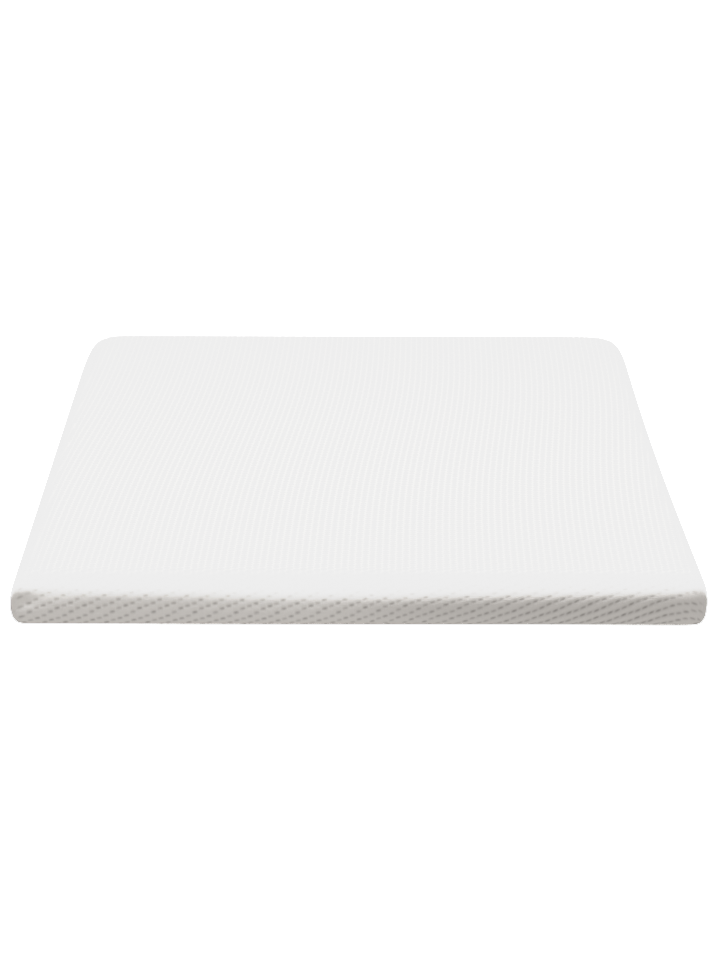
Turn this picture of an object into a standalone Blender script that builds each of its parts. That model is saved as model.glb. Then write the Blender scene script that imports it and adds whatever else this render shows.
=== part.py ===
"""A twin mattress topper lying flat: one filled pad in a knitted cover with no seam."""

import math

import bmesh
import bpy
from mathutils import Matrix, Vector

# Driving dimensions, in metres. X runs across, Y along and Z up; the front is at -Y.
WIDTH = 0.9906
LENGTH = 1.905
THICKNESS = 0.078
SMOOTHING_LOSS = 0.0007  # what subdivision takes off each side of the cage
SHARPEST_TURN = 0.006  # no inner ring turns a corner tighter than this

# How far each corner's turn reaches along its two sides, and how the rim is rounded there.
CORNERS = {
    # side_x, side_y: (reach_x, reach_y, rim_drop, rim_inset, foot_rise, foot_inset)
    (-1, -1): (0.021, 0.021, 0.052, 0.030, 0.025, 0.016),
    (1, -1): (0.024, 0.024, 0.047, 0.025, 0.025, 0.014),
    (1, 1): (0.120, 0.066, 0.053, 0.025, 0.025, 0.015),
    (-1, 1): (0.068, 0.098, 0.053, 0.025, 0.025, 0.015),
}

# How far the middle of each side is drawn in.
DRAWN_IN = {"left": 0.0, "right": 0.0065, "front": 0.0, "back": 0.0028}

# The rim sags a little left of the middle of the front.
SOFT_RIM_X = -0.10
SOFT_RIM_SPREAD = 0.17
SOFT_RIM_DROP = 0.003
SOFT_RIM_INSET = 0.007

# The top is a little higher in the middle than at its rim.
CROWN = 0.0014

# Rings of the side, from the base up, as degrees up the foot's quarter round and the rim's.
FOOT_TURNS = (0.0, 32.0, 62.0)
RIM_TURNS = (0.0, 11.0, 24.0, 45.0, 67.0, 90.0)

# Where the cage is cut across, as distances in from the sides and then shares of the rest.
EDGE_CUTS_X = (0.009, 0.024, 0.047, 0.085)
EDGE_CUTS_Y = (0.009, 0.024, 0.065)
MIDDLE_CUTS_X = 8
MIDDLE_CUTS_Y = 13
CUT_TOLERANCE = 1e-6
FRONT_FACE_V = -0.999  # a ring's points beyond this share of the half length are on the front

# Shallow troughs in the top, near the front right, where the cover has been pressed.
TROUGHS = (
    # x, y, half_length, half_width, heading in degrees, depth
    (0.105, -0.760, 0.110, 0.045, -8.0, 0.0016),
    (0.390, -0.690, 0.100, 0.040, -24.0, 0.0014),
)

# A pucker of the cover on the front face, low at its left corner: a ridge under a groove,
# both climbing to the right.
PUCKER_X = -0.468
PUCKER_RIDGE_Z = 0.024
PUCKER_GROOVE_Z = 0.036
PUCKER_HALF_LENGTH = 0.026
PUCKER_HALF_WIDTH = 0.008
PUCKER_CLIMB = 0.43
PUCKER_HEIGHT = 0.003

COVER_WHITE = (0.84, 0.83, 0.815, 1.0)
COVER_ROUGHNESS = 0.92


def clear_scene():
    for item in list(bpy.data.objects):
        bpy.data.objects.remove(item, do_unlink=True)


def make_collection(name):
    collection = bpy.data.collections.new(name)
    bpy.context.scene.collection.children.link(collection)
    return collection


def knit_material():
    material = bpy.data.materials.new("knitted cover")
    material.use_nodes = True
    shader = material.node_tree.nodes["Principled BSDF"]
    shader.inputs["Base Color"].default_value = COVER_WHITE
    shader.inputs["Roughness"].default_value = COVER_ROUGHNESS
    shader.inputs["Metallic"].default_value = 0.0
    return material


def bell(distance, spread):
    return math.exp(-((distance / spread) ** 2))


def corner_mix(u, v):
    """The corner table's values at a place in the plan, mixed between the four corners."""
    mixed = [0.0] * 6
    for (side_x, side_y), values in CORNERS.items():
        share = (1 + side_x * u) / 2 * (1 + side_y * v) / 2
        for column, value in enumerate(values):
            mixed[column] += share * value
    return mixed


def rim_at(u, v):
    """Drop and inset of the rim's round, with the soft stretch of the front added."""
    _, _, drop, inset, _, _ = corner_mix(u, v)
    at_front = max(0.0, -v) ** 4
    soft = at_front * bell(u * WIDTH / 2 - SOFT_RIM_X, SOFT_RIM_SPREAD)
    return drop + SOFT_RIM_DROP * soft, inset + SOFT_RIM_INSET * soft


def ring_at(ring, u, v):
    """Height and inset of one ring of the side: the foot's rings, then the rim's."""
    if ring < len(FOOT_TURNS):
        _, _, _, _, rise, inset = corner_mix(u, v)
        turn = math.radians(FOOT_TURNS[ring])
        return rise * (1 - math.cos(turn)), inset * (1 - math.sin(turn))
    drop, inset = rim_at(u, v)
    turn = math.radians(RIM_TURNS[ring - len(FOOT_TURNS)])
    height = THICKNESS - CROWN - drop * (1 - math.sin(turn))
    return height, inset * (1 - math.cos(turn))


def plan_point(u, v, inset):
    """A place in the plan, once the corners are rounded and the sides drawn in."""
    half_x = WIDTH / 2 + SMOOTHING_LOSS - inset
    half_y = LENGTH / 2 + SMOOTHING_LOSS - inset
    reach_x, reach_y = CORNERS[(1 if u > 0 else -1, 1 if v > 0 else -1)][:2]
    turn_x = max(reach_x - inset, SHARPEST_TURN)
    turn_y = max(reach_y - inset, SHARPEST_TURN)
    x = abs(u) * half_x
    y = abs(v) * half_y
    past_x = (x - half_x + turn_x) / turn_x
    past_y = (y - half_y + turn_y) / turn_y
    if past_x > 0 and past_y > 0:
        round_off = max(past_x, past_y) / math.hypot(past_x, past_y)
        x = half_x - turn_x + turn_x * past_x * round_off
        y = half_y - turn_y + turn_y * past_y * round_off
    along_x = math.cos(math.pi / 2 * u)
    along_y = math.cos(math.pi / 2 * v)
    x -= abs(u) * along_y * (DRAWN_IN["right"] if u > 0 else DRAWN_IN["left"])
    y -= abs(v) * along_x * (DRAWN_IN["back"] if v > 0 else DRAWN_IN["front"])
    return math.copysign(x, u), math.copysign(y, v)


def trough_depth(x, y):
    depth = 0.0
    for centre_x, centre_y, half_length, half_width, heading, deepest in TROUGHS:
        turn = math.radians(heading)
        along = (x - centre_x) * math.cos(turn) + (y - centre_y) * math.sin(turn)
        across = (y - centre_y) * math.cos(turn) - (x - centre_x) * math.sin(turn)
        depth += deepest * bell(along, half_length) * bell(across, half_width)
    return depth


def pucker_push(x, z):
    """How far the pucker pushes the front face out, or in where this is negative."""
    level = z - PUCKER_CLIMB * (x - PUCKER_X)
    ridge = bell(level - PUCKER_RIDGE_Z, PUCKER_HALF_WIDTH)
    groove = bell(level - PUCKER_GROOVE_Z, PUCKER_HALF_WIDTH)
    return PUCKER_HEIGHT * bell(x - PUCKER_X, PUCKER_HALF_LENGTH) * (ridge - groove)


def edge_and_middle_cuts(size, edge_cuts, middle_cuts):
    """Places to cut across a side: close together at its ends, even between them."""
    half = size / 2
    inner = half - edge_cuts[-1]
    middle = [inner * (2 * step / middle_cuts - 1) for step in range(middle_cuts + 1)]
    ends = [half - cut for cut in edge_cuts[:-1]]
    return sorted([-end for end in ends] + middle + ends)


def block_cage(rings):
    """A block cut into the cage's rows: its heights are ring numbers until it is shaped."""
    cage = bmesh.new()
    top = float(rings - 1)
    size = Matrix.Diagonal((WIDTH, LENGTH, top, 1.0))
    bmesh.ops.create_cube(cage, size=1.0, matrix=Matrix.Translation((0, 0, top / 2)) @ size)
    cuts = [(Vector((1, 0, 0)), place)
            for place in edge_and_middle_cuts(WIDTH, EDGE_CUTS_X, MIDDLE_CUTS_X)]
    cuts += [(Vector((0, 1, 0)), place)
             for place in edge_and_middle_cuts(LENGTH, EDGE_CUTS_Y, MIDDLE_CUTS_Y)]
    cuts += [(Vector((0, 0, 1)), float(ring)) for ring in range(1, rings - 1)]
    for direction, place in cuts:
        everything = cage.verts[:] + cage.edges[:] + cage.faces[:]
        bmesh.ops.bisect_plane(cage, geom=everything, dist=CUT_TOLERANCE,
                               plane_co=direction * place, plane_no=direction)
    return cage


def shape_cage(cage, rings):
    """Turns the block's rows into the pad: side rings, crowned top and flat base."""
    for vertex in cage.verts:
        u = vertex.co.x / (WIDTH / 2)
        v = vertex.co.y / (LENGTH / 2)
        ring = round(vertex.co.z)
        height, inset = ring_at(ring, u, v)
        x, y = plan_point(u, v, inset)
        if ring == rings - 1:
            height += CROWN * math.cos(math.pi / 2 * u) * math.cos(math.pi / 2 * v)
            height -= trough_depth(x, y)
        elif ring > 0 and v < FRONT_FACE_V:
            y -= pucker_push(x, height)
        vertex.co = (x, y, height)


def centre_on_base(cage):
    """Moves the pad so that the origin is under the middle of its length and width."""
    for axis in (0, 1):
        places = [vertex.co[axis] for vertex in cage.verts]
        middle = (min(places) + max(places)) / 2
        for vertex in cage.verts:
            vertex.co[axis] -= middle


def make_topper(collection):
    rings = len(FOOT_TURNS) + len(RIM_TURNS)
    cage = block_cage(rings)
    shape_cage(cage, rings)
    centre_on_base(cage)
    bmesh.ops.recalc_face_normals(cage, faces=cage.faces[:])
    mesh = bpy.data.meshes.new("topper")
    cage.to_mesh(mesh)
    cage.free()
    mesh.shade_smooth()
    mesh.materials.append(knit_material())
    topper = bpy.data.objects.new("topper", mesh)
    collection.objects.link(topper)
    rounding = topper.modifiers.new("rounding", "SUBSURF")
    rounding.levels = 1
    rounding.render_levels = 1
    return topper


def main():
    clear_scene()
    make_topper(make_collection("mattress topper"))


main()
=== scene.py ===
"""The looks of a mattress topper: a flat foam pad in a dimpled knitted cover, on a plain stage."""

import math

import bmesh
import bpy
import numpy as np
from bpy.props import FloatProperty, FloatVectorProperty, IntProperty, PointerProperty
from mathutils import Matrix, Vector


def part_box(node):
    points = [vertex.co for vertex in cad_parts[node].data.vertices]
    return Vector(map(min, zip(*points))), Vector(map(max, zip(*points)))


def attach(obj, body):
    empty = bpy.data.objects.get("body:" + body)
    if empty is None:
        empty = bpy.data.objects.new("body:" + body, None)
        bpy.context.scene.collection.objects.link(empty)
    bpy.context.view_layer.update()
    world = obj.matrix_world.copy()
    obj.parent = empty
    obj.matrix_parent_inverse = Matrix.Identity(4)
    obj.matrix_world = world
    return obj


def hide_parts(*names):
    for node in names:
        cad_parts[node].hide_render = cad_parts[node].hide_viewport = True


bl_info = {
    "name": "Knitted Mattress Topper",
    "version": (1, 0, 0),
    "blender": (4, 5, 0),
    "location": "View3D > Sidebar > Topper",
    "description": "Makes a foam mattress topper in a dimpled knitted cover, with its stage",
    "category": "Object",
}

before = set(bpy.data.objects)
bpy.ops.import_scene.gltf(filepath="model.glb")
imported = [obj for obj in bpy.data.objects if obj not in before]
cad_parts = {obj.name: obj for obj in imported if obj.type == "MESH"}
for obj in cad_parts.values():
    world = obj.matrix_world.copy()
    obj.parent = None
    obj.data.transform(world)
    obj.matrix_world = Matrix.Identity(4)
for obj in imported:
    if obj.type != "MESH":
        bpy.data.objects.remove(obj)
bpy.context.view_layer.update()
PAD_NODE = "topper"
PAD_LOW, PAD_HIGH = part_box(PAD_NODE)
PHOTO_WIDTH, PHOTO_HEIGHT = 720, 960


class PadSettings(bpy.types.PropertyGroup):
    """How the filled pad is shaped."""

    cell: FloatProperty(
        name="Cell", description="Size of a cell of the pad's net",
        default=0.013, unit="LENGTH")
    puff: FloatProperty(
        name="Puff", description="Most that the cover swells anywhere",
        default=0.0008, unit="LENGTH")
    pressure: FloatProperty(
        name="Pressure", description="How hard the filling pushes the cover out", default=4.0)
    settle_steps: IntProperty(
        name="Steps", description="Steps in which the cover settles on its filling", default=20)
    fill: FloatProperty(
        name="Fill", description="How tightly the foam fills its cover", default=0.9)


class KnitSettings(bpy.types.PropertyGroup):
    """The dimpled knit of the cover."""

    column: FloatProperty(
        name="Column", description="From one column of dimples to the next",
        default=0.0097, unit="LENGTH")
    row: FloatProperty(
        name="Row", description="From one dimple to the next down a column",
        default=0.0132, unit="LENGTH")
    stagger: FloatProperty(
        name="Stagger", description="Rise from one column to the next, as a share of a row",
        default=0.335)
    lean: FloatProperty(
        name="Lean", description="Sideways drift of the columns along the cloth", default=-0.04)
    sway: FloatProperty(
        name="Sway", description="How far the columns swing from side to side",
        default=0.006, unit="LENGTH")
    dimple_taper: FloatProperty(
        name="Dimple taper",
        description="How steeply a dimple thins out towards the sides of its column",
        default=0.5)
    dimple_height: FloatProperty(
        name="Dimple height", description="Half the height of a dimple",
        default=0.0021, unit="LENGTH")
    dimple_depth: FloatProperty(
        name="Dimple depth", description="How deep a dimple goes",
        default=0.0005, unit="LENGTH")
    groove_depth: FloatProperty(
        name="Groove depth", description="How deep the grooves between the slanting ribs go",
        default=0.0005, unit="LENGTH")
    yarn: FloatProperty(
        name="Yarn", description="Width of one stitch", default=0.0016, unit="LENGTH")
    white: FloatVectorProperty(
        name="White", description="Colour of the yarn", subtype="COLOR",
        default=(0.80, 0.7965, 0.790))
    # Painted shade: the dark colour that the dimples, the middles of their columns and the grooves
    # take on, standing in for the shadow in them
    shade: FloatVectorProperty(
        name="Shade", description="Colour at the bottom of a dimple", subtype="COLOR",
        default=(0.17, 0.16, 0.15))


class StudioSettings(bpy.types.PropertyGroup):
    """Floor, light and camera."""

    floor_glow: FloatProperty(
        name="Floor glow", description="How brightly the lit table and the backdrop shine",
        default=3.0)
    key_power: FloatProperty(
        name="Key power", description="Light above the front of the pad", default=344.0,
        unit="POWER")
    rear_power: FloatProperty(
        name="Rear power", description="Light above the back of the pad", default=100.0,
        unit="POWER")
    fill_power: FloatProperty(
        name="Fill power", description="Light in front at the left", default=0.017,
        unit="POWER")
    distance: FloatProperty(
        name="Distance", description="From the camera to the middle of the pad",
        default=6.8131, unit="LENGTH")
    pitch: FloatProperty(
        name="Pitch", description="How far the camera looks down",
        default=math.radians(12.305), subtype="ANGLE")
    yaw: FloatProperty(
        name="Yaw", description="How far the camera looks to the right",
        default=math.radians(0.2386), subtype="ANGLE")
    roll: FloatProperty(
        name="Roll", description="How far the camera is tipped",
        default=math.radians(0.1564), subtype="ANGLE")
    aim: FloatVectorProperty(
        name="Aim", description="Point at the middle of the picture", subtype="TRANSLATION",
        default=(0.0049, 0.0, 0.00651))
    focal: FloatProperty(
        name="Focal length", description="In pixels of the picture", default=4162.3)


# The net of the pad. Lengths, heights and places, here and below, are in metres.
FIRST_PASS = 4  # cells made by the first of the two passes that cut the net
SIDE_ROWS = 6
ALONG_AXIS = 0.9  # an edge runs along an axis when this much of its direction does
DENSE_CUTS = 3  # extra cuts of each cell where dimples are carved
SMOOTH_PASSES = 6
SMOOTH_SHARE = 0.5
MOVE_NAMES = ("move_x", "move_y", "move_z")
SWELL_HEIGHTS = (0.0005, 0.03)  # from no swell at the base, which stays flat, to all of it

# Where the knit is carved into the net, and where it is drawn smooth.
CARVE_FULL = 0.010  # dimples are carved at full depth this near the edge of the top
CARVE_NONE = 0.026
CORNER_BARE = 0.001  # the knit is drawn smooth over the turn of each corner
CORNER_KNIT = 0.012
FOOT_CLEAR = 0.007  # height by which the carving has reached its full depth above the base

# Down the front face the knit is drawn a little out of line, in other ways left and right.
FRONT_TURN = -0.955  # place along the cloth where it turns down the front
FRONT_BEND = 0.012  # how softly it turns there
FRONT_FADE = 0.02
LEFT_ENDS, RIGHT_STARTS = -0.05, 0.12
LEFT_DRIFT, RIGHT_DRIFT = 0.10, -0.036
LEFT_SQUEEZE, RIGHT_SQUEEZE = -3.3, 6.9
FAN_START = 0.41  # right of this the rows flatten out
FAN_LENGTH = 0.055
FAN_SHARE = 0.62
SWAY_LENGTH = 1.7
DIMPLE_SLANT = 0.3  # how far a dimple turns into line with its row where there are no ribs
DIMPLE_UNEVEN = 0.35  # how much shallower the shallowest dimple is than the deepest
DIMPLE_SHIFT = 0.07  # how far a dimple sits above or below its place, as a share of a row
DEPTH_TURNS = (2.4, 4.3)  # of an uneven wave, from column to column and from row to row
SHIFT_TURNS = (4.9, 2.1)

# Rows of dimples run into grooves with ribs between them, on the right of the front.
RIB_START, RIB_FULL = 0.04, 0.36
RIB_FADES, RIB_ENDS = 0.42, 0.47
RIB_TOP, RIB_FOOT = -0.002, -0.024  # where they rise, down from the turn of the front

# The relief is stretched nearly smooth over the lower part of the rim's round.
RIM_STARTS, RIM_SMOOTH = 0.026, 0.050
RIM_RETURNS, RIM_ENDS = 0.054, 0.070
RIM_RELIEF = 0.15

# How far the cover stands out past its filling along the front: under the rim and at the foot.
FULLNESS = (
    # across, under_rim, at_foot
    (-0.47, 0.0031, 0.0011),
    (-0.42, 0.0022, 0.0012),
    (-0.22, 0.0020, 0.0013),
    (-0.10, 0.0013, 0.0013),
    (0.06, 0.0002, 0.0010),
    (0.28, 0.0003, 0.0008),
    (0.40, 0.0008, 0.0008),
    (0.47, 0.0017, 0.0006),
)
FULL_RIM = (0.031, 0.062)  # heights between which it comes to stand out under the rim
FULL_FOOT, FOOT_SPREAD = 0.017, 0.0075
FULL_DEPTHS = (-0.915, -0.945)  # places along the pad between which it comes to do so

# How far a dimple's bottom and the middle of its column take on the painted shade, by height, so
# that it follows how the light falls over the rim.
PAINTED_SHADES = (
    # height, dimple, column
    (0.036, 0.46, 0.00),
    (0.048, 0.30, 0.00),
    (0.058, 0.32, 0.00),
    (0.068, 0.60, 0.08),
    (0.0755, 0.95, 0.14),
)
# How far the grooves between the ribs take on the painted shade, standing in for the shadow in
# them.
PAINTED_GROOVE_SHADE = 0.11

# The rest of the knit's looks.
CARVED_SHARE = 0.7  # how much of the relief is left out of the bump where it is carved
STITCH_RISE = 0.12  # as a share of the yarn's width
STITCH_DETAIL = 2.0
YARN_ROUGHNESS = 0.88
DIMPLE_ROUGHNESS = 0.08  # what a dimple adds to the yarn's
VALUE_OUTPUT = 2  # of an attribute node

# The camera's tone curve: light of the scene against light of the picture.
TONE_WHITE = 2.4
TONE = (
    (0.10, 0.20),
    (0.20, 0.405),
    (0.30, 0.62),
    (0.37, 0.745),
    (0.45, 0.803),
    (0.55, 0.836),
    (0.70, 0.848),
    (1.00, 0.852),
    (1.40, 0.854),
    (1.75, 0.859),
    (1.95, 0.880),
    (2.15, 0.920),
)


def select_none():
    if bpy.context.mode != "OBJECT":
        bpy.ops.object.mode_set(mode="OBJECT")
    bpy.ops.object.select_all(action="DESELECT")


def only(piece):
    """Selects this piece alone."""
    select_none()
    piece.select_set(True)
    bpy.context.view_layer.objects.active = piece


# Maths that the mesh and the material share, so that dimples are carved where the painted shade
# darkens them.

ARRAY_MATHS = {"SINE": np.sin, "COSINE": np.cos, "EXPONENT": np.exp, "FLOOR": np.floor,
               "SQRT": np.sqrt, "ABSOLUTE": np.abs, "POWER": np.power}


def maths(operation, value, *others):
    """A function of a value, which is an array over a mesh or a socket of a shader."""
    if isinstance(value, Wire):
        return value.math(operation, *others)
    return ARRAY_MATHS[operation](value, *others)


def smooth_step(low, high, value):
    """Rises from 0 to 1 as the value goes from low to high."""
    share = (value - low) * (1.0 / (high - low))
    if isinstance(share, Wire):
        share = share.math("MAXIMUM", 0.0).math("MINIMUM", 1.0)
    else:
        share = np.clip(share, 0.0, 1.0)
    return share * share * (3.0 - 2.0 * share)


def positive(value):
    """The value where it is above 0, and 0 elsewhere."""
    return (value + maths("ABSOLUTE", value)) * 0.5


def uneven(column, row, turns):
    """A value from -1 to 1 that differs from dimple to dimple."""
    return maths("SINE", column * turns[0] + row * turns[1])


def drawn_place(across, along, past_front, knit):
    """Columns across and rows along to a place on the cloth, as the knit is drawn there."""
    bend = maths("SQRT", past_front * past_front + FRONT_BEND ** 2)
    down_front = (past_front - bend) * 0.5
    right = smooth_step(LEFT_ENDS, RIGHT_STARTS, across)
    drift = LEFT_DRIFT + right * (RIGHT_DRIFT - LEFT_DRIFT)
    squeeze = LEFT_SQUEEZE + right * (RIGHT_SQUEEZE - LEFT_SQUEEZE)
    sway = maths("SINE", along * (2 * math.pi / SWAY_LENGTH)) * knit.sway
    columns = (across + along * knit.lean - sway + down_front * drift) / knit.column
    rows = past_front / knit.row + down_front * squeeze
    return columns, rows


def fan_at(across, past_front, knit):
    """How many columns the rows lag behind their slant at the right of the front."""
    on_front = smooth_step(FRONT_FADE, -FRONT_FADE, past_front)
    past_fan = positive(across - FAN_START)
    past_bend = positive(past_fan - FAN_LENGTH)
    fan = (past_fan * past_fan - past_bend * past_bend) * on_front
    return fan * (FAN_SHARE / (2 * FAN_LENGTH * knit.column))


def ribbed_at(across, past_front):
    """How much the rows run into grooves, from 0 to 1."""
    ribbed = smooth_step(RIB_START, RIB_FULL, across) * smooth_step(RIB_ENDS, RIB_FADES, across)
    return ribbed * smooth_step(RIB_TOP, RIB_FOOT, past_front)


def knit_at(across, along, knit):
    """The dimples, their columns and the grooves at a place on the cloth, each from 0 to 1."""
    past_front = along - FRONT_TURN
    column_place, rows = drawn_place(across, along, past_front, knit)
    fan = fan_at(across, past_front, knit)
    ribbed = ribbed_at(across, past_front)

    def row_place(columns):
        return rows - (columns - fan) * knit.stagger

    column = maths("FLOOR", column_place)
    beside = column_place - column - 0.5
    place = row_place(column + 0.5)
    row = maths("FLOOR", place)
    slant = (DIMPLE_SLANT + ribbed * (1 - DIMPLE_SLANT)) * knit.stagger
    shift = uneven(column, row, SHIFT_TURNS) * DIMPLE_SHIFT
    rise = (place - row - 0.5 - beside * slant + shift) * (knit.row / knit.dimple_height)
    width = 0.5 + maths("COSINE", beside * (2 * math.pi)) * 0.5
    depth = 1.0 - DIMPLE_UNEVEN * (0.5 + uneven(column, row, DEPTH_TURNS) * 0.5)
    pit = maths("POWER", width, knit.dimple_taper) * maths("EXPONENT", -(rise * rise))
    rib = maths("COSINE", row_place(column_place) * (2 * math.pi))
    return pit * depth, width, (1.0 - rib) * ribbed * 0.5


# Meshes.


def points_of(piece):
    flat = np.empty(len(piece.data.vertices) * 3, np.float32)
    piece.data.vertices.foreach_get("co", flat)
    return flat.reshape(-1, 3).astype(float)


def set_points(piece, points):
    piece.data.vertices.foreach_set("co", points.astype(np.float32).ravel())
    piece.data.update()


def normals_of(piece):
    flat = np.empty(len(piece.data.vertices) * 3, np.float32)
    piece.data.vertex_normals.foreach_get("vector", flat)
    return flat.reshape(-1, 3).astype(float)


def set_attribute(mesh, name, values):
    attribute = mesh.attributes.new(name, "FLOAT", "POINT")
    attribute.data.foreach_set("value", values.astype(np.float32))


def get_attribute(mesh, name):
    values = np.empty(len(mesh.vertices), np.float32)
    mesh.attributes[name].data.foreach_get("value", values)
    return values.astype(float)


def cut_along(piece, axis, cells):
    """Cuts every edge that runs along an axis into cells, in two passes."""
    first = math.gcd(cells, FIRST_PASS)
    for count in (first, cells // first):
        if count < 2:
            continue
        net = bmesh.from_edit_mesh(piece.data)
        for edge in net.edges:
            run = (edge.verts[1].co - edge.verts[0].co).normalized()
            edge.select = abs(run[axis]) > ALONG_AXIS
        net.select_flush_mode()
        bmesh.update_edit_mesh(piece.data)
        bpy.ops.mesh.subdivide(number_cuts=count - 1)


def block_net(low, high, cells):
    """A block at the pad's place and size, cut into the given cells."""
    select_none()
    bpy.ops.mesh.primitive_cube_add(size=1.0, location=(low + high) / 2, scale=high - low)
    block = bpy.context.active_object
    bpy.ops.object.transform_apply(location=True, rotation=True, scale=True)
    bpy.ops.object.mode_set(mode="EDIT")
    bpy.ops.mesh.select_mode(type="EDGE")
    for axis, count in enumerate(cells):
        cut_along(block, axis, count)
    bpy.ops.object.mode_set(mode="OBJECT")
    return block


def settle_on(piece, solid):
    """Brings each point to the nearest place on the solid."""
    only(piece)
    wrap = piece.modifiers.new("settle", "SHRINKWRAP")
    wrap.target = solid
    wrap.wrap_method = "NEAREST_SURFACEPOINT"
    bpy.ops.object.modifier_apply(modifier=wrap.name)


def puff_cover(piece, pad):
    """Lets the filling push the cover out, and keeps a little of that outward swell."""
    start, outward = points_of(piece), normals_of(piece)
    only(piece)
    cloth = piece.modifiers.new("cover", "CLOTH")
    cloth.settings.use_pressure = True
    cloth.settings.uniform_pressure_force = pad.pressure
    cloth.settings.effector_weights.gravity = 0.0
    for step in range(1, pad.settle_steps + 1):
        bpy.context.scene.frame_set(step)
    bpy.ops.object.modifier_apply(modifier=cloth.name)
    bpy.context.scene.frame_set(1)
    swell = np.einsum("ij,ij->i", points_of(piece) - start, outward)
    swell = np.clip(swell, 0.0, pad.puff) * smooth_step(*SWELL_HEIGHTS, start[:, 2])
    set_points(piece, start + outward * swell[:, None])


# The cloth's own coordinates, in metres from the middle of the top.


def running_length(points, axis):
    """Length along a net's lines from their middle, growing along the axis."""
    steps = np.linalg.norm(np.diff(points, axis=axis), axis=-1)
    start = np.zeros_like(np.take(steps, [0], axis=axis))
    total = np.concatenate([start, np.cumsum(steps, axis=axis)], axis=axis)
    middle = np.take(total, [total.shape[axis] // 2], axis=axis)
    return total - middle


def down_length(wall):
    """Length down a wall's lines from its top row, for a wall of columns by heights."""
    steps = np.linalg.norm(np.diff(wall[:, ::-1], axis=1), axis=-1)
    start = np.zeros((wall.shape[0], 1))
    return np.concatenate([start, np.cumsum(steps, axis=1)], axis=1)[:, ::-1]


def lay_cloth(piece, site, cells):
    """Gives each face the cloth's coordinates: the knit runs on from the top down each side.

    The site of a point is its column, row and level in the net.
    """
    last_x, last_y, last_z = cells
    net = np.zeros((last_x + 1, last_y + 1, last_z + 1, 3))
    net[site[:, 0], site[:, 1], site[:, 2]] = points_of(piece)
    top = net[:, :, last_z]
    across, along = running_length(top, 0), running_length(top, 1)
    down = {
        "front": down_length(net[:, 0]), "back": down_length(net[:, last_y]),
        "left": down_length(net[0]), "right": down_length(net[last_x]),
    }
    mesh = piece.data
    uv = mesh.uv_layers.new(name="knit")
    values = np.zeros((len(mesh.loops), 2), np.float32)
    for face in mesh.polygons:
        corners = site[list(face.vertices)]
        for loop, (i, j, k) in zip(face.loop_indices, corners):
            if (corners[:, 2] == last_z).all():
                values[loop] = across[i, j], along[i, j]
            elif (corners[:, 2] == 0).all():
                values[loop] = net[i, j, k, 0], -net[i, j, k, 1]
            elif (corners[:, 1] == 0).all():
                values[loop] = across[i, 0], along[i, 0] - down["front"][i, k]
            elif (corners[:, 1] == last_y).all():
                values[loop] = across[i, last_y], along[i, last_y] + down["back"][i, k]
            elif (corners[:, 0] == 0).all():
                values[loop] = across[0, j] - down["left"][j, k], along[0, j]
            else:
                values[loop] = across[last_x, j] + down["right"][j, k], along[last_x, j]
    uv.data.foreach_set("uv", values.ravel())


def mark_knit(piece, block_points):
    """Marks where dimples are carved, where the knit is smooth, and how much painted shade it
    takes.
    """
    middle = np.array((PAD_LOW + PAD_HIGH) / 2)
    half = np.array(PAD_HIGH - PAD_LOW) / 2
    inward = half[:2] - np.abs(block_points[:, :2] - middle[:2])
    height = points_of(piece)[:, 2]
    carved = 1.0 - smooth_step(CARVE_FULL, CARVE_NONE, inward.min(axis=1))
    carved *= smooth_step(0.0, FOOT_CLEAR, height)
    knitted = smooth_step(CORNER_BARE, CORNER_KNIT, inward.max(axis=1))
    rim = smooth_step(RIM_STARTS, RIM_SMOOTH, height) - smooth_step(RIM_RETURNS, RIM_ENDS, height)
    # Painted shade at the bottoms of dimples and down their columns, by height.
    heights, painted_dimple_shades, painted_column_shades = np.array(PAINTED_SHADES).T
    marks = {
        "carved": carved,
        "knitted": knitted,
        "relief": knitted * (1.0 - (1.0 - RIM_RELIEF) * rim),
        "painted_dimple_shade": np.interp(height, heights, painted_dimple_shades),
        "painted_column_shade": np.interp(height, heights, painted_column_shades),
    }
    for name, values in marks.items():
        set_attribute(piece.data, name, values)


def cut_finer(piece):
    """Cuts the cells finer where dimples are carved."""
    carved = get_attribute(piece.data, "carved")
    only(piece)
    bpy.ops.object.mode_set(mode="EDIT")
    bpy.ops.mesh.select_mode(type="FACE")
    bpy.ops.mesh.select_all(action="DESELECT")
    net = bmesh.from_edit_mesh(piece.data)
    net.verts.ensure_lookup_table()
    for face in net.faces:
        face.select = any(carved[corner.index] > 0.0 for corner in face.verts)
    net.select_flush_mode()
    bmesh.update_edit_mesh(piece.data)
    bpy.ops.mesh.subdivide(number_cuts=DENSE_CUTS)
    bpy.ops.object.mode_set(mode="OBJECT")


def refine(piece, solid, move):
    """Cuts the net finer, settles it on the solid again and then adds the cover's move."""
    mesh = piece.data
    for axis, name in enumerate(MOVE_NAMES):
        set_attribute(mesh, name, move[:, axis])
    cut_finer(piece)
    settle_on(piece, solid)
    bpy.ops.object.mode_set(mode="EDIT")
    bpy.ops.mesh.vertices_smooth(factor=SMOOTH_SHARE, repeat=SMOOTH_PASSES)
    bpy.ops.object.mode_set(mode="OBJECT")
    move = np.stack([get_attribute(mesh, name) for name in MOVE_NAMES], axis=1)
    for name in MOVE_NAMES:
        mesh.attributes.remove(mesh.attributes[name])
    set_points(piece, points_of(piece) + move)


def fill_out(piece):
    """Stands the front more upright, by moving the cover out under the rim and at the foot."""
    points = points_of(piece)
    across, deep, height = points.T
    places, under_rim, at_foot = np.array(FULLNESS).T
    out = np.interp(across, places, under_rim) * smooth_step(*FULL_RIM, height)
    foot = np.exp(-(((height - FULL_FOOT) / FOOT_SPREAD) ** 2))
    out += np.interp(across, places, at_foot) * foot
    points[:, 1] -= out * smooth_step(*FULL_DEPTHS, deep)
    set_points(piece, points)


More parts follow.
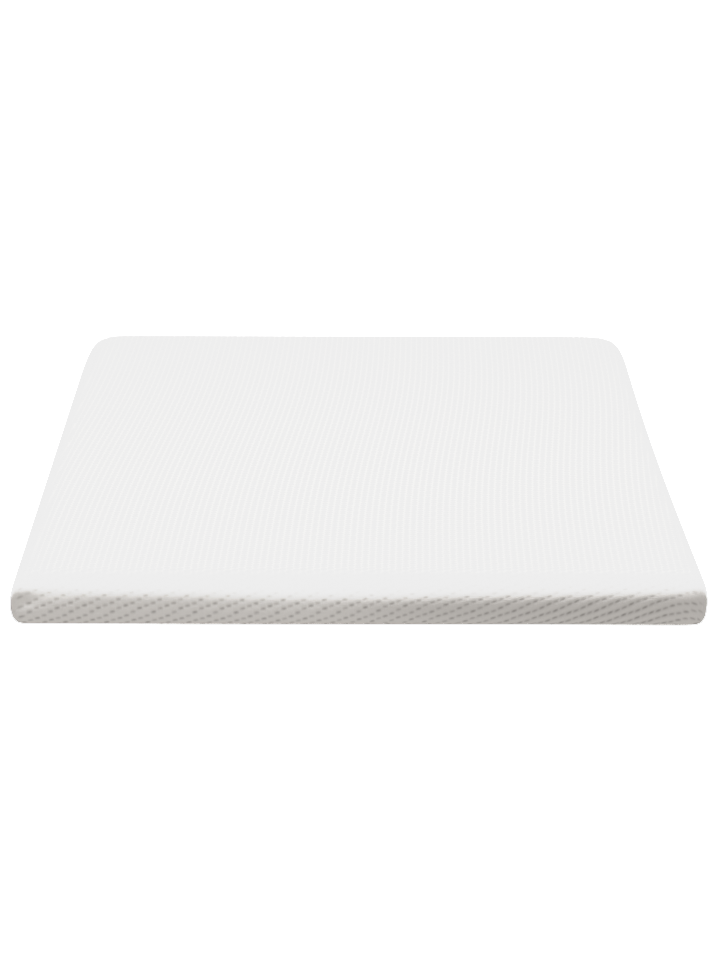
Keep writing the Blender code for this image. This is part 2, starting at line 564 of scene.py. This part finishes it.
def carve_dimples(piece, knit):
    """Carves the dimples, and the grooves into which their rows run."""
    mesh = piece.data
    uv = np.empty(len(mesh.loops) * 2, np.float32)
    mesh.uv_layers["knit"].data.foreach_get("uv", uv)
    across, along = uv.reshape(-1, 2).astype(float).T
    corner_of = np.empty(len(mesh.loops), np.int32)
    mesh.loops.foreach_get("vertex_index", corner_of)
    pit, _, groove = knit_at(across, along, knit)
    rise = -groove * knit.groove_depth - pit * knit.dimple_depth
    total = np.bincount(corner_of, rise, len(mesh.vertices))
    share = total / np.maximum(1, np.bincount(corner_of, minlength=len(mesh.vertices)))
    share *= get_attribute(mesh, "carved") * get_attribute(mesh, "relief")
    points = points_of(piece) + normals_of(piece) * share[:, None]
    points[:, 2] = np.maximum(points[:, 2], 0.0)
    set_points(piece, points)


class TOPPER_OT_cover(bpy.types.Operator):
    """Make the filled pad in its knitted cover"""

    bl_idname = "topper.cover"
    bl_label = "Make cover"
    bl_options = {"REGISTER", "UNDO"}

    def execute(self, context):
        pad, knit = context.scene.topper_pad, context.scene.topper_knit
        size = PAD_HIGH - PAD_LOW
        cells = [FIRST_PASS * round(size[axis] / pad.cell / FIRST_PASS) for axis in (0, 1)]
        cells.append(SIDE_ROWS)
        cover = block_net(PAD_LOW, PAD_HIGH, cells)
        cover.name = cover.data.name = "topper_cover"
        block_points = points_of(cover)
        shares = (block_points - np.array(PAD_LOW)) / np.array(size)
        site = np.rint(shares * cells).astype(int)
        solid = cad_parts[PAD_NODE]
        settle_on(cover, solid)
        lay_cloth(cover, site, cells)
        mark_knit(cover, block_points)
        rest = points_of(cover)
        puff_cover(cover, pad)
        move = points_of(cover) - rest
        set_points(cover, rest)
        refine(cover, solid, move)
        fill_out(cover)
        carve_dimples(cover, knit)
        only(cover)
        bpy.ops.object.shade_smooth()
        cover.data.materials.append(knit_material(knit))
        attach(cover, "root")
        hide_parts(PAD_NODE)
        return {"FINISHED"}


# Materials.


class Wire:
    """A shader socket that takes part in sums, so that shader maths reads as maths."""

    def __init__(self, board, socket):
        self.board = board
        self.socket = socket

    def math(self, operation, *others):
        return self.board.add("ShaderNodeMath", {"operation": operation}, self, *others)

    def __add__(self, other):
        return self.math("ADD", other)

    __radd__ = __add__

    def __sub__(self, other):
        return self.math("SUBTRACT", other)

    def __rsub__(self, other):
        return self.board.add("ShaderNodeMath", {"operation": "SUBTRACT"}, other, self)

    def __mul__(self, other):
        return self.math("MULTIPLY", other)

    __rmul__ = __mul__

    def __truediv__(self, other):
        return self.math("DIVIDE", other)

    def __neg__(self):
        return self.math("MULTIPLY", -1.0)


class Board:
    """A material's nodes."""

    def __init__(self, name):
        self.material = bpy.data.materials.new(name)
        self.material.use_nodes = True
        self.tree = self.material.node_tree
        self.shader = self.tree.nodes["Principled BSDF"]

    def node(self, kind, settings=None, inputs=()):
        made = self.tree.nodes.new(kind)
        for name, value in (settings or {}).items():
            setattr(made, name, value)
        pairs = inputs.items() if isinstance(inputs, dict) else enumerate(inputs)
        for key, value in pairs:
            if isinstance(value, Wire):
                self.tree.links.new(value.socket, made.inputs[key])
            elif value is not None:
                made.inputs[key].default_value = value
        return made

    def add(self, kind, settings, *inputs, out=0):
        return Wire(self, self.node(kind, settings, inputs).outputs[out])

    def mark(self, name):
        """A value that is marked on the mesh."""
        return self.add("ShaderNodeAttribute", {"attribute_name": name}, out=VALUE_OUTPUT)

    def feed(self, name, wire):
        self.tree.links.new(wire.socket, self.shader.inputs[name])

    def set(self, **values):
        for name, value in values.items():
            self.shader.inputs[name.replace("_", " ")].default_value = value


def knit_material(knit):
    """White knit with painted shade in its dimples, down their columns and in its grooves, and
    fine stitches in its bump.
    """
    board = Board("knitted cover")
    uv = board.add("ShaderNodeUVMap", {"uv_map": "knit"})
    parts = board.node("ShaderNodeSeparateXYZ", inputs=[uv])
    across, along = Wire(board, parts.outputs[0]), Wire(board, parts.outputs[1])
    pit, column, groove = knit_at(across, along, knit)

    # Painted shade: the dimples, the middles of their columns and the grooves take on the dark
    # colour, standing in for the shadow in them.
    shaded_column = column * column * board.mark("painted_column_shade")
    painted_shade_share = pit * board.mark("painted_dimple_shade") + shaded_column + groove * PAINTED_GROOVE_SHADE
    colour = board.node("ShaderNodeMix", {"data_type": "RGBA"}, {
        "A": (*knit.white, 1.0), "B": (*knit.shade, 1.0),
        "Factor": painted_shade_share * board.mark("knitted")})
    board.feed("Base Color", Wire(board, colour.outputs["Result"]))

    left_to_bump = (1.0 - board.mark("carved") * CARVED_SHARE) * board.mark("relief")
    depth = (groove * knit.groove_depth + pit * knit.dimple_depth) * left_to_bump
    noise = board.node("ShaderNodeTexNoise", inputs={
        "Vector": uv, "Scale": 1 / knit.yarn, "Detail": STITCH_DETAIL})
    height = Wire(board, noise.outputs[0]) * (knit.yarn * STITCH_RISE) - depth
    bump = board.node("ShaderNodeBump", inputs={
        "Strength": 1.0, "Distance": 1.0, "Height": height})
    board.feed("Normal", Wire(board, bump.outputs["Normal"]))
    board.feed("Roughness", YARN_ROUGHNESS + pit * DIMPLE_ROUGHNESS)
    board.set(Sheen_Weight=0.15, Sheen_Roughness=0.5, Specular_IOR_Level=0.25)
    return board.material


def glow_material(name, glow):
    """Plain white that shines by itself and takes no light."""
    board = Board(name)
    board.set(Base_Color=(0.0, 0.0, 0.0, 1.0), Roughness=1.0, Specular_IOR_Level=0.0,
              Emission_Color=(1.0, 1.0, 1.0, 1.0), Emission_Strength=glow)
    return board.material


# The stage.

FLOOR_SIZE = 110.0
SKY_RADIUS = 60.0
SKY_LIGHT_UP = 0.245
SKY_LIGHT_DOWN = 0.303
SHADE_TINT = (1.0, 0.96, 0.917, 1.0)
KEY_PLACE = Vector((0.0, -0.42, 4.0))
REAR_PLACE = Vector((0.0, 1.8, 4.0))
KEY_SIZE = (1.2, 0.8)
FILL_PLACE = Vector((-0.29, -2.9, 0.9))
FILL_TARGET = Vector((-0.29, -0.95, 0.03))
FILL_SIZE = (0.62, 0.2)
FILL_SPREAD = math.radians(7.0)
SENSOR_WIDTH = 36.0  # of the camera, in millimetres
COMBINED_CURVE = 3  # the tone curve that works on red, green and blue alike


def set_floor(glow):
    """A table and a backdrop that are white all round and throw no light on the pad."""
    select_none()
    bpy.ops.mesh.primitive_plane_add(size=FLOOR_SIZE, location=(0, 0, 0))
    floor = bpy.context.active_object
    floor.name = "floor"
    bpy.ops.mesh.primitive_uv_sphere_add(radius=SKY_RADIUS, location=(0, 0, 0))
    backdrop = bpy.context.active_object
    backdrop.name = "backdrop"
    white = glow_material("lit white", glow)
    for piece in (floor, backdrop):
        piece.data.materials.append(white)
        piece.visible_diffuse = False
        piece.visible_glossy = False
        piece.visible_shadow = False


def add_area_light(name, place, target, size, power, spread=math.pi):
    light = bpy.data.lights.new(name, "AREA")
    light.shape = "RECTANGLE"
    light.size, light.size_y = size
    light.energy = power
    light.spread = spread
    lamp = bpy.data.objects.new(name, light)
    lamp.location = place
    lamp.rotation_euler = (target - place).to_track_quat("-Z", "Y").to_euler()
    bpy.context.scene.collection.objects.link(lamp)


def set_light(studio):
    """Two lights above the pad, a weak one in front, and soft light from all round."""
    for name, place, power in (("key", KEY_PLACE, studio.key_power),
                               ("rear key", REAR_PLACE, studio.rear_power)):
        below = Vector((place.x, place.y, 0.0))
        add_area_light(name, place, below, KEY_SIZE, power)
    add_area_light("fill", FILL_PLACE, FILL_TARGET, FILL_SIZE, studio.fill_power, FILL_SPREAD)
    world = bpy.data.worlds.new("studio")
    world.use_nodes = True
    tree = world.node_tree
    place = tree.nodes.new("ShaderNodeTexCoord")
    parts = tree.nodes.new("ShaderNodeSeparateXYZ")
    grade = tree.nodes.new("ShaderNodeMapRange")
    grade.inputs["From Min"].default_value = -1.0
    grade.inputs["To Min"].default_value = SKY_LIGHT_DOWN
    grade.inputs["To Max"].default_value = SKY_LIGHT_UP
    tree.links.new(place.outputs["Generated"], parts.inputs[0])
    tree.links.new(parts.outputs["Z"], grade.inputs["Value"])
    tree.links.new(grade.outputs[0], tree.nodes["Background"].inputs["Strength"])
    tree.nodes["Background"].inputs["Color"].default_value = SHADE_TINT
    bpy.context.scene.world = world


def set_tone():
    """Gives the picture the camera's tone curve."""
    view = bpy.context.scene.view_settings
    view.view_transform = "Standard"
    view.use_curve_mapping = True
    tone = view.curve_mapping
    tone.white_level = (TONE_WHITE,) * 3
    for light, picture in TONE:
        point = tone.curves[COMBINED_CURVE].points.new(light / TONE_WHITE, picture)
        point.handle_type = "AUTO_CLAMPED"
    tone.update()


def set_camera(studio):
    """The camera of the photo, in front of the pad and a little above it."""
    pitch, yaw, roll = studio.pitch, studio.yaw, studio.roll
    ahead = Vector((math.sin(yaw) * math.cos(pitch), math.cos(yaw) * math.cos(pitch),
                    -math.sin(pitch)))
    level = Vector((math.cos(yaw), -math.sin(yaw), 0.0))
    upright = level.cross(ahead)
    right = math.cos(roll) * level + math.sin(roll) * upright
    up = math.cos(roll) * upright - math.sin(roll) * level
    data = bpy.data.cameras.new("camera")
    data.sensor_width = SENSOR_WIDTH
    data.lens = studio.focal * data.sensor_width / max(PHOTO_WIDTH, PHOTO_HEIGHT)
    data.clip_end = 2 * SKY_RADIUS + FLOOR_SIZE
    camera = bpy.data.objects.new("camera", data)
    turn = Matrix((right, up, -ahead)).transposed().to_4x4()
    place = Vector(studio.aim) - ahead * studio.distance
    camera.matrix_world = Matrix.Translation(place) @ turn
    bpy.context.scene.collection.objects.link(camera)
    bpy.context.scene.camera = camera


class TOPPER_OT_stage(bpy.types.Operator):
    """Set the floor, the light, the camera and its tone"""

    bl_idname = "topper.stage"
    bl_label = "Set stage"
    bl_options = {"REGISTER", "UNDO"}

    def execute(self, context):
        studio = context.scene.topper_studio
        set_floor(studio.floor_glow)
        set_light(studio)
        set_camera(studio)
        set_tone()
        return {"FINISHED"}


class TOPPER_PT_panel(bpy.types.Panel):
    """The topper's sizes, colours and steps"""

    bl_idname = "TOPPER_PT_panel"
    bl_label = "Mattress topper"
    bl_space_type = "VIEW_3D"
    bl_region_type = "UI"
    bl_category = "Topper"

    def draw(self, context):
        scene = context.scene
        for settings in (scene.topper_pad, scene.topper_knit, scene.topper_studio):
            box = self.layout.box()
            for name in settings.bl_rna.properties.keys():
                if name not in ("rna_type", "name"):
                    box.prop(settings, name)
        for operator in OPERATORS:
            self.layout.operator(operator.bl_idname)


SETTINGS = {
    "topper_pad": PadSettings,
    "topper_knit": KnitSettings,
    "topper_studio": StudioSettings,
}
OPERATORS = (TOPPER_OT_stage, TOPPER_OT_cover)


def register():
    for name, group in SETTINGS.items():
        bpy.utils.register_class(group)
        setattr(bpy.types.Scene, name, PointerProperty(type=group))
    for operator in OPERATORS:
        bpy.utils.register_class(operator)
    bpy.utils.register_class(TOPPER_PT_panel)


def unregister():
    bpy.utils.unregister_class(TOPPER_PT_panel)
    for operator in reversed(OPERATORS):
        bpy.utils.unregister_class(operator)
    for name, group in reversed(SETTINGS.items()):
        delattr(bpy.types.Scene, name)
        bpy.utils.unregister_class(group)


def main():
    register()
    bpy.ops.topper.stage()
    bpy.ops.topper.cover()


if __name__ == "__main__":
    main()
